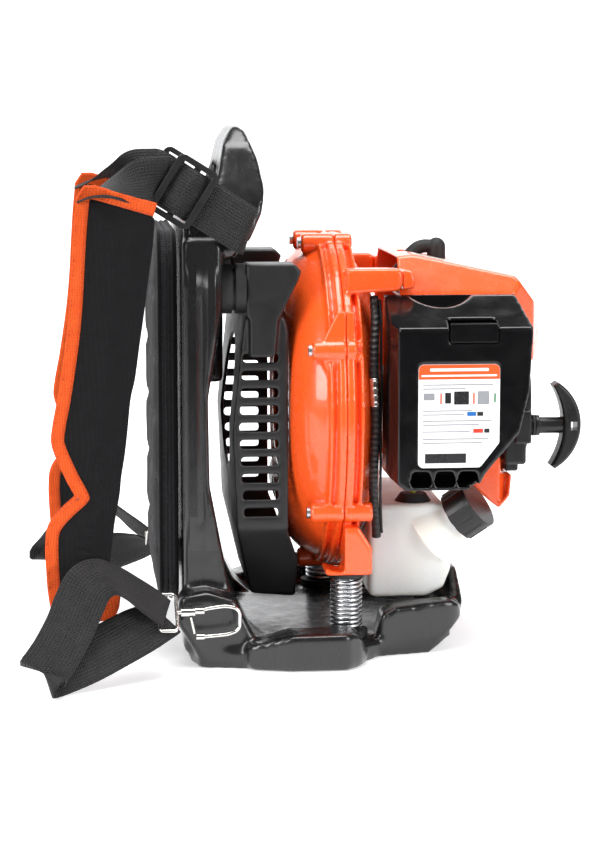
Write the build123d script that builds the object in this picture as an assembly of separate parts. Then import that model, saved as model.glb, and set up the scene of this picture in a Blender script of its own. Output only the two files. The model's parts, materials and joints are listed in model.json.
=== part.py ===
from build123d import *
import math
import os

# Backpack leaf blower, millimetres. +X is to the rear (engine side), the wearer is at -X,
# +Z is up and -Y is the machine's left. The origin is on the floor, under the crank axis
# plane, in the flat underside of the carrying frame. The crank runs along X at Y = 0.

# ---- driving dimensions -------------------------------------------------------------
CRANK_Z = 217.0            # height of the crank and fan axis
SPLIT_X = 27.0             # parting plane of the two volute halves
VOLUTE_RADIUS = 147.0      # outer radius of the volute at the parting plane
FLANGE_RADIUS = 153.0
WALL = 3.0                 # moulded wall of the volute and the guard
COLUMN_Y = 130.0           # outer face of the frame's columns
COLUMN_FRONT = -115.0
ARM_Y = 100.0              # middle of the upper rubber mounts
ARM_Z = 327.0
SPRING_X = 30.5
SPRING_Y = 112.0
SPRING_RADIUS = 12.9       # mean radius of the coil
SPRING_WIRE = 2.9
SPRING_LOW = 24.0
SPRING_HIGH = 71.0
SPRING_TURNS = 12
CYLINDER_X = 126.0         # cylinder axis
BORE_RADIUS = 20.0
STROKE = 28.0
ROD_LENGTH = 56.0
WEB_RADIUS = 24.0
SHAFT_RADIUS = 7.5
FIT = 0.05                 # radial clearance of a running fit
CASE_FRONT = 88.0
CASE_REAR = 163.0
DUCT_RADIUS = 36.0         # air outlet duct, outside
DUCT_Z = 114.0
DUCT_END = 165.0
COVER_FRONT = 80.0
COVER_NEAR = -88.0
COVER_FAR = 92.0
AIRBOX_NEAR = -160.0
AIRBOX_BACK = -102.0
ROPE_Y = -60.0
ROPE_Z = 197.0
PULLEY_RADIUS = 28.0       # radius the rope is wound on
STARTER_RADIUS = 56.0
CHOKE = (170.0, 225.0)     # choke lever's pivot, X and Z
TANK_NEAR = -88.0
TANK_TOP = 131.0
GROMMET = (96.0, -68.0)    # where the fuel line enters the tank, X and Y
NECK = Vector(120.0, -76.0, 107.0)
NECK_AXIS = Vector(0.74, -0.34, 0.58).normalized()
CAP_RADIUS = 23.5
PAD_NEAR = -168.0
PAD_FAR = -153.0
WEBBING = 2.0              # webbing thickness
WEBBING_WIDTH = 44.0
TRAVEL = (0.848, 0, -0.53)           # way the adjuster strap runs through its slider
BUCKLE_Y = -137.8
RING_SLOPE = (0, 0.864, 0.503)       # long side of the snap hook's ring
HOOK_Y = -171.0
SWIVEL_Z = 54.6
WIRE = 1.6                 # radius of the snap hook's wire


# ---- helpers ------------------------------------------------------------------------
def outline(points, corner):
    face = make_face(Polyline(*points, close=True))
    return fillet(face.vertices(), corner) if corner else face


def softened(solid, axis, edge):
    if not edge:
        return solid
    ends = solid.faces().sort_by(axis)
    return fillet(ends[0].edges() + ends[-1].edges(), edge)


def side(points, near, far, corner=0, edge=0):
    """Prism of an X-Z outline between two Y values."""
    face = Plane.XZ.offset(-far) * outline(points, corner)
    return softened(extrude(face, amount=far - near), Axis.Y, edge)


def plan(points, low, high, corner=0, edge=0):
    """Prism of an X-Y outline between two heights."""
    face = Plane.XY.offset(low) * outline(points, corner)
    return softened(extrude(face, amount=high - low), Axis.Z, edge)


def across(points, front, rear, corner=0, edge=0):
    """Prism of a Y-Z outline between two X values."""
    face = Plane.YZ.offset(front) * outline(points, corner)
    return softened(extrude(face, amount=rear - front), Axis.X, edge)


def block(x0, x1, y0, y1, z0, z1, edge=0):
    solid = Pos((x0 + x1) / 2, (y0 + y1) / 2, (z0 + z1) / 2) * Box(x1 - x0, y1 - y0, z1 - z0)
    return fillet(solid.edges(), edge) if edge else solid


def rod_x(radius, x0, x1, y=0.0, z=CRANK_Z):
    return extrude(Plane.YZ.offset(x0) * Pos(y, z) * Circle(radius), amount=x1 - x0)


def rod_y(radius, y0, y1, x, z):
    return extrude(Plane.XZ.offset(-y1) * Pos(x, z) * Circle(radius), amount=y1 - y0)


def rod_z(radius, z0, z1, x, y):
    return extrude(Plane.XY.offset(z0) * Pos(x, y) * Circle(radius), amount=z1 - z0)


def both_sides(solid):
    return [solid, mirror(solid, about=Plane.XZ)]


def joined(parts):
    whole = parts[0]
    for part in parts[1:]:
        whole = whole + part
    return whole


def turned(*edges):
    """Solid of revolution about the crank axis; the outline is (X, radius)."""
    frame = Plane((0, 0, CRANK_Z), x_dir=(1, 0, 0), z_dir=(0, -1, 0))
    return revolve(frame * make_face(joined(list(edges))), Axis((0, 0, CRANK_Z), (1, 0, 0)))


def tube(points, radius, tight=0.45):
    """Round tube along straight runs joined by tangent arcs, as large as the runs allow."""
    knots = [Vector(*p) for p in points]
    radii = []
    for a, b, c in zip(knots, knots[1:], knots[2:]):
        turn = math.radians((b - a).get_angle(c - b))
        radii.append(tight * min((b - a).length, (c - b).length) / math.tan(turn / 2))
    path = FilletPolyline(*knots, radius=radii)
    start = Plane(origin=knots[0], z_dir=knots[1] - knots[0])
    return sweep(start * Circle(radius), path=path)


def on_neck(solid):
    """Places a solid built about Z on the filler neck's axis."""
    return Plane(origin=NECK, z_dir=NECK_AXIS) * solid


def group(shapes):
    """One node of several separate solids."""
    return Compound(children=[solid for shape in shapes for solid in shape.solids()])


# ---- carrying frame -----------------------------------------------------------------
def column():
    body = side([(COLUMN_FRONT, 8), (COLUMN_FRONT, 372), (-79, 372), (-79, 311), (-92, 233),
                 (-91, 156), (-75, 71), (-56, 30), (-30, 8)], -COLUMN_Y, -86, 6, 5)
    for x, low, high in ((-106.5, 96, 330), (-98.5, 120, 322)):
        body -= block(x - 1.6, x + 1.6, -COLUMN_Y - 1, 1.8 - COLUMN_Y, low, high)
    return body


def hook_foot():
    return side([(-119, 64), (-96, 68), (-70, 60), (-44, 8), (-60, 0), (-98, 0), (-106, 14),
                 (-123, 42)], -153, -120, 4, 5)


def front_lobe():
    shape = plan([(-66, -134), (-60, -166), (-25, -176), (26, -176), (38, -164), (46, -148),
                  (42, -134)], 0, 34, 6, 5)
    return shape & side([(-68, 0), (-66, 18), (-58, 23), (-22, 32), (30, 33), (40, 26), (48, 0)],
                        -180, -110, 2)


def rear_lobe():
    shape = plan([(56, -91), (58, -124), (76, -120), (126, -112), (138, -102), (140, -91)],
                 0, 52, 5, 4)
    return shape & side([(50, 0), (62, 38), (74, 44), (126, 48), (134, 42), (135, 30), (126, 21),
                         (112, 12), (76, 8), (72, 0)], -130, -60, 2)


def rear_lip():
    lip = side([(98, 0), (112, 14), (127, 30), (130, 60), (132, 70), (137, 69), (138.5, 44),
                (133, 24), (105, 0)], -100, 100, 2)
    return lip & across([(-98, -5), (-98, 44), (-62, 69), (62, 69), (98, 44), (98, -5)],
                        90, 150, 8)


def carrying_frame():
    half = [(-110, 0), (-110, -120), (-102, -150), (-60, -158), (30, -162), (46, -140),
            (60, -124), (126, -108), (134, -80), (134, 0)]
    floor = plan(half + [(x, -y) for x, y in reversed(half[1:-1])], 0, 16)
    floor -= side([(105, -1), (150, -1), (150, 34)], -200, 200)
    panel = block(-112, -105, -90, 90, 8, 366)
    ribs = [block(-106, -97, y - 4, y + 4, 14, 352) for y in (-45, 0, 45)]
    spine = block(-108, -73, -34, 34, 236, 350, 4)
    yoke = side([(-113, 346), (-113, 385), (-96, 402), (-66, 397), (-61, 388), (-61, 366),
                 (-68, 354), (-80, 352), (-90, 346)], -124, 124, 4, 8)
    hump = side([(-98, 384), (-80, 424), (-74, 454), (-64, 470), (-54, 463), (-44, 438),
                 (-39, 412), (-42, 392), (-54, 366), (-96, 366)], -100, 100, 5)
    hump = hump & across([(-98, 350), (-92, 398), (-64, 450), (-42, 470), (42, 470), (64, 450),
                          (92, 398), (98, 350)], -120, -20, 14)
    grip = across([(-42, 404), (-34, 430), (34, 430), (42, 404)], -130, -20, 6)
    parts = [floor, panel, spine, yoke, hump - grip, rear_lip()] + ribs
    for piece in (column(), hook_foot(), front_lobe(), rear_lobe()):
        parts += both_sides(piece)
    parts += both_sides(rod_z(21, 10, 18, SPRING_X, -SPRING_Y))
    return joined(parts) - grip


# ---- mounts between the frame and the power unit --------------------------------------
def rubber_buffers():
    buffer = rod_x(22, -79, -58, -ARM_Y, ARM_Z)
    return group(both_sides(buffer - rod_x(23, -70, -67, -ARM_Y, ARM_Z)
                            + rod_x(19, -71, -66, -ARM_Y, ARM_Z)))


def suspension_springs():
    height = SPRING_HIGH - SPRING_LOW
    base = (SPRING_X, -SPRING_Y, SPRING_LOW + SPRING_WIRE / 2)
    path = Pos(*base) * Helix(height / SPRING_TURNS, height - SPRING_WIRE, SPRING_RADIUS)
    start = Plane(origin=path @ 0, z_dir=path % 0)
    return group(both_sides(sweep(start * Circle(SPRING_WIRE / 2), path=path, is_frenet=True)))


def spring_cups():
    cup = rod_z(19, 18, SPRING_LOW, SPRING_X, -SPRING_Y)
    cup += rod_z(SPRING_RADIUS - SPRING_WIRE / 2 - 0.4, 18, SPRING_LOW + 8, SPRING_X, -SPRING_Y)
    seat = rod_z(15.5, SPRING_HIGH + 0.2, 75, SPRING_X, -SPRING_Y)
    return group(both_sides(cup) + both_sides(seat))


# ---- fan housing ----------------------------------------------------------------------
def inlet_guard():
    outer = side([(-59, 303), (-24, 303), (-21, 290), (-21, 112), (-11, 84), (-11, 45),
                  (-52, 50), (-66, 112), (-70, 202)], -112, 112, 4)
    outer = outer & across([(-112, 322), (112, 322), (112, 116), (72, 44), (-72, 44),
                            (-112, 116)], -80, 0, 16)
    inner = side([(-56, 300), (-5, 300), (-5, 49), (-50, 53), (-63, 112), (-67, 202)],
                 -109, 109, 2)
    inner = inner & across([(-109, 310), (109, 310), (109, 118), (70, 48), (-70, 48),
                            (-109, 118)], -80, 0, 14)
    shell = outer - inner
    for i in range(10):
        z = 126 + 15.2 * i
        shell -= block(-64 + abs(i - 5) * 0.8, -30, -120, 120, z, z + 7.5)
    arm = side([(-58, 304), (-58, 349), (-16, 349), (-10, 343), (-13, 334), (-30, 300), (-33, 268),
                (-55, 268), (-55, 301)], -119, -81, 1.2, 1.2)
    return joined([shell] + both_sides(arm)) - rod_x(62, -100, 0) - volute_envelope(0.3)


def volute_envelope(gap):
    """The volute's outer surface without its flange, for what has to clear it."""
    return turned(Line((-20 - gap, 0), (-20 - gap, 98)),
                  ThreePointArc((-20 - gap, 98), (-8 - 0.7 * gap, 132 + 0.7 * gap), (20, 147 + gap)),
                  Line((20, 147 + gap), (34, 147 + gap)),
                  ThreePointArc((34, 147 + gap), (51 + 0.7 * gap, 124 + 0.7 * gap), (65 + gap, 94)),
                  Polyline((65 + gap, 94), (65 + gap, 0), (-20 - gap, 0)))


BOSSES = ((14, 43), (67, 36), (125, 52), (180, 44), (-100, 44), (-67, 36), (-16, 43))
BOSS_CIRCLE = 150.0


def boss_places():
    """Y, Z and rear end of each screw boss round the flange."""
    for degrees, rear in BOSSES:
        angle = math.radians(degrees)
        yield -BOSS_CIRCLE * math.sin(angle), CRANK_Z + BOSS_CIRCLE * math.cos(angle), rear


def duct(radius):
    return rod_y(radius, 40, DUCT_END, SPLIT_X, DUCT_Z)


def volute_cavity():
    """Air space inside the two halves, with the inlet and the outlet duct."""
    space = turned(Line((-17, 0), (-17, 98)), ThreePointArc((-17, 98), (-5.2, 129.5), (20, 144)),
                   Line((20, 144), (34, 144)), ThreePointArc((34, 144), (48.8, 121.8), (62, 94)),
                   Polyline((62, 94), (62, 0), (-17, 0)))
    space += rod_x(62, -30, 0) + rod_x(42, 60, 70)
    return space + rod_y(DUCT_RADIUS - WALL, 20, DUCT_END + 1, SPLIT_X, DUCT_Z)


def volute_shell():
    """Both halves as one body, before they are parted at SPLIT_X."""
    shell = volute_envelope(0)
    shell += rod_x(FLANGE_RADIUS, 20, 34) + rod_x(151, 12, 15) + rod_x(151, 39, 42)
    shell += duct(DUCT_RADIUS)
    for y, z, rear in boss_places():
        shell += rod_x(8.5, -3, rear, y, z)
    gusset_z = CRANK_Z + BOSS_CIRCLE * math.cos(math.radians(67))
    gusset = side([(2, gusset_z), (19, gusset_z - 38), (34, gusset_z - 38), (36, gusset_z),
                   (34, gusset_z + 34), (19, gusset_z + 34)], -141, -134)
    bar = side([(30, 322), (76, 324), (80, 328), (80, 341), (76, 344), (30, 344)], -112, -92, 2, 2)
    shell = joined([shell] + both_sides(gusset) + both_sides(bar))
    shell -= volute_cavity()
    for y, z, _ in boss_places():
        shell -= rod_x(2.6, -30, 80, y, z)
    return shell


def volute_front():
    return volute_shell() & block(-40, SPLIT_X, -220, 220, 0, 400)


def spring_foot():
    foot = side([(10, 75), (52, 75), (52, 99), (40, 118), (14, 118)], -129, -94, 2, 2)
    front_half = rod_x(FLANGE_RADIUS + 0.4, 0, SPLIT_X + 0.2)
    front_half += duct(DUCT_RADIUS + 0.4) & block(-30, SPLIT_X + 0.2, -200, 200, 0, 300)
    return foot - front_half - mirror(front_half, about=Plane.XZ) - volute_cavity()


def volute_rear():
    rear = volute_shell() & block(SPLIT_X, 100, -220, 220, 0, 400)
    rear = joined([rear] + both_sides(spring_foot())) - volute_cavity()
    for y, z, _ in boss_places():
        rear -= rod_x(2.6, -30, 80, y, z)
    return rear


def volute_screws():
    return group([rod_x(2.5, -6, 34, y, z) + rod_x(5, -6, -3, y, z)
                  for y, z, _ in boss_places()])


def outlet_spigot():
    body = rod_y(DUCT_RADIUS + 3.2, DUCT_END - 18, 205, SPLIT_X, DUCT_Z)
    body += rod_y(DUCT_RADIUS + 5, DUCT_END - 18, DUCT_END - 12, SPLIT_X, DUCT_Z)
    body -= rod_y(DUCT_RADIUS + 0.1, DUCT_END - 20, DUCT_END + 0.1, SPLIT_X, DUCT_Z)
    return body - rod_y(DUCT_RADIUS - 1, DUCT_END - 1, 210, SPLIT_X, DUCT_Z)


def fan_impeller():
    hub = rod_x(17, 4, 52) - rod_x(SHAFT_RADIUS, 0, 60)
    disc = rod_x(108, 49, 52) - rod_x(16, 48, 53)
    blade_side = make_face(Polyline((50, 40), (2, 60), (-8, 74), (-8, 92), (4, 107), (50, 107),
                                    close=True))
    blade = extrude(Plane.XZ.offset(1.2) * Pos(0, CRANK_Z) * blade_side, amount=-2.4)
    blades = []
    for i in range(12):
        swept = blade.rotate(Axis((0, 0, CRANK_Z + 74), (1, 0, 0)), 32)
        blades.append(swept.rotate(Axis((0, 0, CRANK_Z), (1, 0, 0)), 30 * i))
    return joined([disc + hub] + blades)


# ---- engine -----------------------------------------------------------------------------
PIN_Z = CRANK_Z + STROKE / 2
WRIST_Z = PIN_Z + ROD_LENGTH
DECK_Z = 245.0


def crankcase():
    body = rod_x(38, CASE_FRONT, CASE_REAR) + rod_x(48, 65, 75) + rod_x(30, 70, CASE_FRONT)
    body += block(CYLINDER_X - 32, CYLINDER_X + 32, -32, 32, 222, DECK_Z)
    body -= block(60, 180, -60, 60, DECK_Z, 280)
    body -= rod_x(27, CYLINDER_X - 18, CYLINDER_X + 18)
    body -= rod_x(17.5, CYLINDER_X - 29, CYLINDER_X + 29)
    body -= rod_x(SHAFT_RADIUS + 0.6, 60, 170)
    body -= rod_z(BORE_RADIUS + 0.2, 236, 250, CYLINDER_X, 0)
    return body


def crank_bearings():
    rings = []
    for x in (CYLINDER_X - 29, CYLINDER_X + 18):
        rings.append(rod_x(17.5, x, x + 11) - rod_x(SHAFT_RADIUS + FIT, x - 1, x + 12))
    return group(rings)


def crankshaft():
    front = rod_x(SHAFT_RADIUS, 4, CYLINDER_X - 16) + rod_x(5.9, -12, 5)
    rear = rod_x(SHAFT_RADIUS, CYLINDER_X + 16, 176)
    front += rod_x(WEB_RADIUS, CYLINDER_X - 16, CYLINDER_X - 6.2)
    rear += rod_x(WEB_RADIUS, CYLINDER_X + 6.2, CYLINDER_X + 16)
    return group([front, rear])


def connecting_rod():
    rod = rod_x(11, CYLINDER_X - 5.5, CYLINDER_X + 5.5, 0, PIN_Z)
    rod += rod_x(8.5, CYLINDER_X - 5.5, CYLINDER_X + 5.5, 0, WRIST_Z)
    rod += block(CYLINDER_X - 3, CYLINDER_X + 3, -5, 5, PIN_Z + 8, WRIST_Z - 6)
    rod -= rod_x(5.5, CYLINDER_X - 8, CYLINDER_X + 8, 0, PIN_Z)
    return rod - rod_x(5, CYLINDER_X - 8, CYLINDER_X + 8, 0, WRIST_Z)


def rod_pins():
    """Wrist pin, and the crank pin; the latter stops short of both webs."""
    wrist = rod_x(5, CYLINDER_X - 17, CYLINDER_X + 17, 0, WRIST_Z)
    return group([wrist, rod_x(5.5, CYLINDER_X - 5.9, CYLINDER_X + 5.9, 0, PIN_Z)])


def piston():
    body = rod_z(BORE_RADIUS - FIT, WRIST_Z - 16, WRIST_Z + 22, CYLINDER_X, 0)
    body -= rod_z(16, WRIST_Z - 17, WRIST_Z + 17, CYLINDER_X, 0)
    bosses = rod_x(8, CYLINDER_X - 17.5, CYLINDER_X + 17.5, 0, WRIST_Z)
    bosses -= block(CYLINDER_X - 6, CYLINDER_X + 6, -12, 12, WRIST_Z - 12, WRIST_Z + 12)
    return body + bosses - rod_x(5, CYLINDER_X - 17, CYLINDER_X + 17, 0, WRIST_Z)


def cylinder():
    body = rod_z(27, DECK_Z, 336, CYLINDER_X, 0)
    body += block(CYLINDER_X - 32, CYLINDER_X + 32, -32, 32, DECK_Z, DECK_Z + 6)
    for i in range(9):
        z = 260 + 8.6 * i
        body += block(CYLINDER_X - 36, CYLINDER_X + 36, -40, 40, z, z + 2.2)
    body += block(CYLINDER_X - 16, CYLINDER_X + 16, -42, 42, 256, 284)
    body -= rod_z(BORE_RADIUS, DECK_Z - 1, 313, CYLINDER_X, 0)
    body -= rod_z(5, 310, 340, CYLINDER_X, 0)
    return body - rod_y(8, -50, 50, CYLINDER_X, 269)


def spark_plug():
    plug = rod_z(5, 315, 336, CYLINDER_X, 0) + rod_z(4.5, 336, 352, CYLINDER_X, 0)
    hexagon = Plane.XY.offset(336) * Pos(CYLINDER_X, 0) * RegularPolygon(9, 6)
    return plug + extrude(hexagon, amount=7)


def plug_boot():
    leg = rod_z(8.5, 344, 356, CYLINDER_X, 0) + rod_z(7.5, 343, 357, CYLINDER_X, 0)
    knee = Pos(CYLINDER_X, 0, 356) * Sphere(8.4)
    arm = tube([(CYLINDER_X, 0, 356), (110, 0, 357), (99, 0, 346)], 6.2)
    return leg + knee + arm - rod_z(4.5, 330, 352, CYLINDER_X, 0)


def ignition_lead():
    return tube([(98.6, 0, 345.6), (86, 0, 333), (84, 34, 322), (92, 68, 316),
                 (126, 77, 312), (158, 67, 311), (170, 50, 306), (170, 50, 292.2)], 3.4)


def ignition_coil():
    core = block(164, 174, 14, 62, 266, 274) + block(164, 174, 48, 62, 248, 268)
    return core + block(163, 177, 28, 54, 272, 292, 2)


def flywheel():
    wheel = rod_x(46, 164, 174) - rod_x(34, 168, 176) + rod_x(16, 164, 174)
    return wheel - rod_x(SHAFT_RADIUS, 160, 180)


def carburettor():
    body = block(106, 146, -94, -54, 250, 286, 3)
    body += rod_z(12, 284, 290, 126, -74)
    return body - rod_y(8, -100, -50, CYLINDER_X, 269)


def intake_insulator():
    body = block(108, 144, -54, -42, 254, 284, 1.5)
    return body - rod_y(8, -60, -40, CYLINDER_X, 269)


def throttle_lever():
    lever = rod_z(3, 290.2, 299, 126, -74)
    return lever + plan([(122, -78), (130, -78), (130, -70), (104, -60), (100, -66)], 294, 297, 1.5)


def muffler():
    body = block(92, 160, 54, 86, 222, 292, 6) + block(108, 144, 42, 56, 256, 284)
    outlet = rod_y(8, 84, 97, 146, 238)
    return body + outlet - rod_y(6.5, 60, 98, 146, 238)


def muffler_guard():
    plate = block(86, 172, 97, 100, 206, 302, 1.2)
    for i in range(6):
        plate -= block(96, 132, 90, 110, 224 + 12 * i, 230 + 12 * i)
    studs = [rod_y(4, 92, 98, x, z) for x in (90, 168) for z in (212, 296)]
    return joined([plate] + studs) - rod_y(9.5, 90, 110, 146, 238)


# ---- engine cover ---------------------------------------------------------------------
COVER_OUTLINE = [(COVER_FRONT, 352), (96, 353), (186, 334), (207, 309), (217, 280), (213, 262),
                 (192, 250), (189, 158), (187, 132), (178, 121), (166, 121), (150, 150),
                 (COVER_FRONT, 150)]
COVER_INSIDE = [(60, 349), (96, 350.2), (184.8, 331.4), (204.6, 307.8), (214.4, 279.6),
                (210.8, 263.6), (189.4, 252), (186.4, 158), (184.4, 133), (175, 121), (166, 110),
                (60, 110)]


def cover_plan(gap):
    """Bowed rear of the cover seen from above."""
    low, high = COVER_NEAR + gap, COVER_FAR - gap
    return plan([(40, low), (182, low), (205 - gap, -66), (217 - gap, -30), (217 - gap, 34),
                 (205 - gap, 70), (182, high), (40, high)], 90, 370)


def cover_corner():
    """Facetted hollow corner that closes the cover below the starter, on the tank's side."""
    corner = side([(146, 146), (172, 124), (178, 121), (187, 132), (189, 148), (188, 168),
                   (146, 168)], -57, 20, 2, 1)
    corner = corner & plan([(140, -57), (177, -57), (190, -41), (190, 20), (140, 20)], 100, 180)
    return corner - side([(140, 150), (164, 134), (170, 130), (170, 170), (140, 170)], -54, 30)


def engine_cover():
    shell = side(COVER_OUTLINE, COVER_NEAR, COVER_FAR, 2.4, 0)
    shell = shell & across([(-88, 110), (-88, 318), (-62, 356), (66, 356), (92, 318), (92, 110)],
                           60, 230, 12) & cover_plan(0)
    inside = side(COVER_INSIDE, COVER_NEAR + 2.6, COVER_FAR - 2.6, 1.2, 0)
    inside = inside & across([(-85.4, 100), (-85.4, 317), (-60.8, 353.4), (64.8, 353.4),
                              (89.4, 317), (89.4, 100)], 50, 230, 10) & cover_plan(2.6)
    ears = both_sides(side([(COVER_FRONT, 325), (89, 326), (92, 331), (89, 341),
                            (COVER_FRONT, 343)], -110, -80, 1.5, 1.5))
    shell = joined([shell - inside] + ears)
    shell -= inside + block(130, 200, -100, -58, 100, 206)
    shell += cover_corner()
    shell -= rod_x(STARTER_RADIUS + 1, 177, 230) + block(179, 230, -65, -19, 152, 192)
    shell -= block(180, 230, ROPE_Y - 17, ROPE_Y + 20, ROPE_Z - 17, ROPE_Z + 17)
    shell -= block(96, 158, -100, -80, 240, 300)
    shell -= rod_z(12, 330, 360, CYLINDER_X, 0) + block(90, CYLINDER_X, -9, 9, 330, 360)
    shell -= rod_y(10.5, 80, 100, 146, 238) + on_neck(Pos(0, 0, 44) * Cylinder(CAP_RADIUS + 3, 60))
    for i in range(7):
        shell -= block(150, 180, 80, 100, 262 + 9 * i - 40, 266 + 9 * i - 40)
    return shell


# ---- air filter box -------------------------------------------------------------------
AIRBOX_OUTLINE = [(63, 166), (76, 155), (130, 155), (142, 161), (146, 169), (176, 205), (184, 240),
                  (187, 296), (180, 321), (64, 321)]


def airbox_solid(near, back, inset):
    cx, cz = 124.0, 238.0
    points = []
    for x, z in AIRBOX_OUTLINE:
        length = math.hypot(x - cx, z - cz)
        points.append((x - inset * (x - cx) / length * 1.25, z - inset * (z - cz) / length * 1.25))
    solid = side(points, near, back, 3)
    top = across([(near - 1, 100), (near - 1, 295.5 - inset), (near + 2, 297 - inset),
                  (back - 6, 320 - inset), (back + 1, 320 - inset), (back + 1, 100)], 40, 220)
    flank = plan([(71 + inset, near - 1), (63 + inset, near + 14), (63 + inset, back + 1),
                  (220, back + 1), (220, near + 20), (186 - inset, near - 1)], 100, 340)
    return solid & top & flank


def airbox_cover():
    shell = airbox_solid(AIRBOX_NEAR, AIRBOX_BACK, 0)
    shell -= airbox_solid(AIRBOX_NEAR + 2.5, AIRBOX_BACK + 1, 2.5)
    shell -= side([(86, 174), (142, 174), (159, 196), (159, 266), (86, 266)], AIRBOX_NEAR - 1,
                  AIRBOX_NEAR + 1, 6)
    for x in (90, 111, 131):
        shell -= side([(x - 9.3, 163), (x - 7.5, 157.5), (x + 7.5, 157.5), (x + 9.3, 163),
                       (x + 7, 171), (x - 7, 171)], AIRBOX_NEAR - 1, AIRBOX_NEAR + 6)
    shell -= block(114, 156, AIRBOX_NEAR - 1, AIRBOX_NEAR + 16, 283, 310)
    shell -= rod_y(50, AIRBOX_BACK - 26, AIRBOX_BACK + 1, 113, 361)
    seat = rod_y(52.5, AIRBOX_BACK - 26, AIRBOX_BACK, 113, 361)
    seat -= rod_y(50, AIRBOX_BACK - 27, AIRBOX_BACK + 1, 113, 361)
    return shell + (seat & airbox_solid(AIRBOX_NEAR, AIRBOX_BACK, 0.2))


def cover_latch():
    tab = side([(114.6, 284), (155.4, 284), (155.4, 300), (114.6, 300)],
               AIRBOX_NEAR - 2, AIRBOX_NEAR + 3.2, 1)
    hook = block(116, 154, AIRBOX_NEAR + 3.2, AIRBOX_NEAR + 11, 297, 300)
    return tab + hook


def instruction_label():
    return side([(87, 175), (141.4, 175), (158, 196.4), (158, 265), (87, 265)],
                AIRBOX_NEAR + 0.2, AIRBOX_NEAR + 0.95, 5)


def airbox_base():
    plate = airbox_solid(AIRBOX_BACK + 0.4 - 20, AIRBOX_BACK + 0.4 + 4, 0)
    plate = plate & block(64.6, 220, AIRBOX_BACK + 0.3, AIRBOX_BACK + 4.4, 100, 340)
    plate += block(104, 148, AIRBOX_BACK + 3, -94, 248, 288)
    plate -= rod_y(3 + FIT, -110, -90, *CHOKE)
    return plate - rod_y(8, -120, -80, CYLINDER_X, 269)


def air_filter():
    body = block(84, 166, AIRBOX_BACK - 28, AIRBOX_BACK - 1, 200, 288, 3)
    return body


# ---- fuel system ------------------------------------------------------------------------
def tank_recess(gap):
    """Hollow in the tank's front for the volute and the outlet duct."""
    return volute_envelope(gap) + rod_y(DUCT_RADIUS + gap, -18 - gap, 120, SPLIT_X, DUCT_Z)


def fuel_tank():
    low = [(106, 46), (122, 54), (128, 70), (131, 90), (131, 112)]
    tank = side([(54, 46)] + low + [(122, TANK_TOP), (54, TANK_TOP)], TANK_NEAR, 70, 6, 5)
    tank += on_neck(Pos(0, 0, 12) * Cylinder(17, 44) + Pos(0, 0, 1) * Cone(30, 17, 26))
    inner = side([(57, 49), (105, 49), (120, 56), (125, 71), (128, 91), (128, 111),
                  (120, TANK_TOP - 3), (57, TANK_TOP - 3)], TANK_NEAR + 3, 67, 4, 2)
    tank -= inner + on_neck(Pos(0, 0, 14) * Cylinder(14, 56))
    tank += tank_recess(5) & inner
    return tank - tank_recess(2) - rod_z(7, TANK_TOP - 8, 150, *GROMMET)


def tank_grommet():
    dish = Pos(*GROMMET, TANK_TOP + 0.1) * extrude(Circle(16.5), amount=7, taper=35)
    plug = rod_z(6.9, TANK_TOP - 5, TANK_TOP + 2, *GROMMET)
    return dish + plug - rod_z(2.6, 120, 160, *GROMMET)


def fuel_line():
    x, y = GROMMET
    return tube([(x, y, TANK_TOP - 10), (x, y, 160), (x + 10, y - 8, 192), (x + 19, y - 6, 222),
                 (x + 21, y - 3, 249.4)], 2.4)


def fuel_pickup():
    return rod_z(5.5, TANK_TOP - 30, TANK_TOP - 10, *GROMMET)


def cap_gasket():
    return on_neck(Pos(0, 0, 35.3) * (Cylinder(16.8, 2) - Cylinder(12, 3)))


def filler_cap():
    body = Pos(0, 0, 31) * Cylinder(CAP_RADIUS, 24)
    for i in range(12):
        body -= Rot(0, 0, 30 * i) * Pos(CAP_RADIUS + 0.8, 0, 26) * Box(3.2, 5.4, 26)
    return on_neck(body - Pos(0, 0, 27) * Cylinder(17.3, 20))


def choke_lever():
    pivot = rod_y(3, -99.6, -90, *CHOKE)
    return pivot + side([(166, 221), (174, 221), (193, 231), (191, 238), (168, 230)], -97.4, -94.9, 1)


# ---- recoil starter ---------------------------------------------------------------------
def starter_housing():
    cup = rod_x(STARTER_RADIUS, 178, 206)
    cup += block(188, 203, ROPE_Y - 15, ROPE_Y + 25, ROPE_Z - 15, ROPE_Z + 15, 2)
    cup += block(181, 201, -62, -22, 161, 190, 3) + block(183, 195, -54, -30, 154, 165, 2)
    cup -= rod_x(STARTER_RADIUS - 2.6, 170, 203)
    cup -= block(170, 200, ROPE_Y - 12, ROPE_Y + 30, ROPE_Z - 8, ROPE_Z + 8)
    cup += rod_x(6, 179.5, 204)
    cup -= rod_x(7, 196, 210, ROPE_Y, ROPE_Z)
    for i in range(8):
        angle = math.radians(45 * i + 20)
        cup -= rod_x(5, 200, 210, 40 * math.sin(angle), CRANK_Z + 40 * math.cos(angle))
    return cup


def starter_pulley():
    body = rod_x(44, 180, 189.5) - (rod_x(50, 182, 187.5) - rod_x(PULLEY_RADIUS, 182, 187.5))
    return body - rod_x(6 + FIT, 170, 200)


def starter_pawls():
    pawls = []
    for angle in (20, 200):
        pawl = side([(177.6, CRANK_Z + 14), (179.8, CRANK_Z + 14), (179.8, CRANK_Z + 30),
                     (177.6, CRANK_Z + 30)], -4, 4)
        pawls.append(pawl.rotate(Axis((0, 0, CRANK_Z), (1, 0, 0)), angle))
    return group(pawls)


def starter_rope():
    return rod_x(38, 182.2, 187.3) - rod_x(PULLEY_RADIUS + FIT, 180, 190)


def recoil_spring():
    return rod_x(36, 190.5, 201) - rod_x(9, 190, 202)


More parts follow.
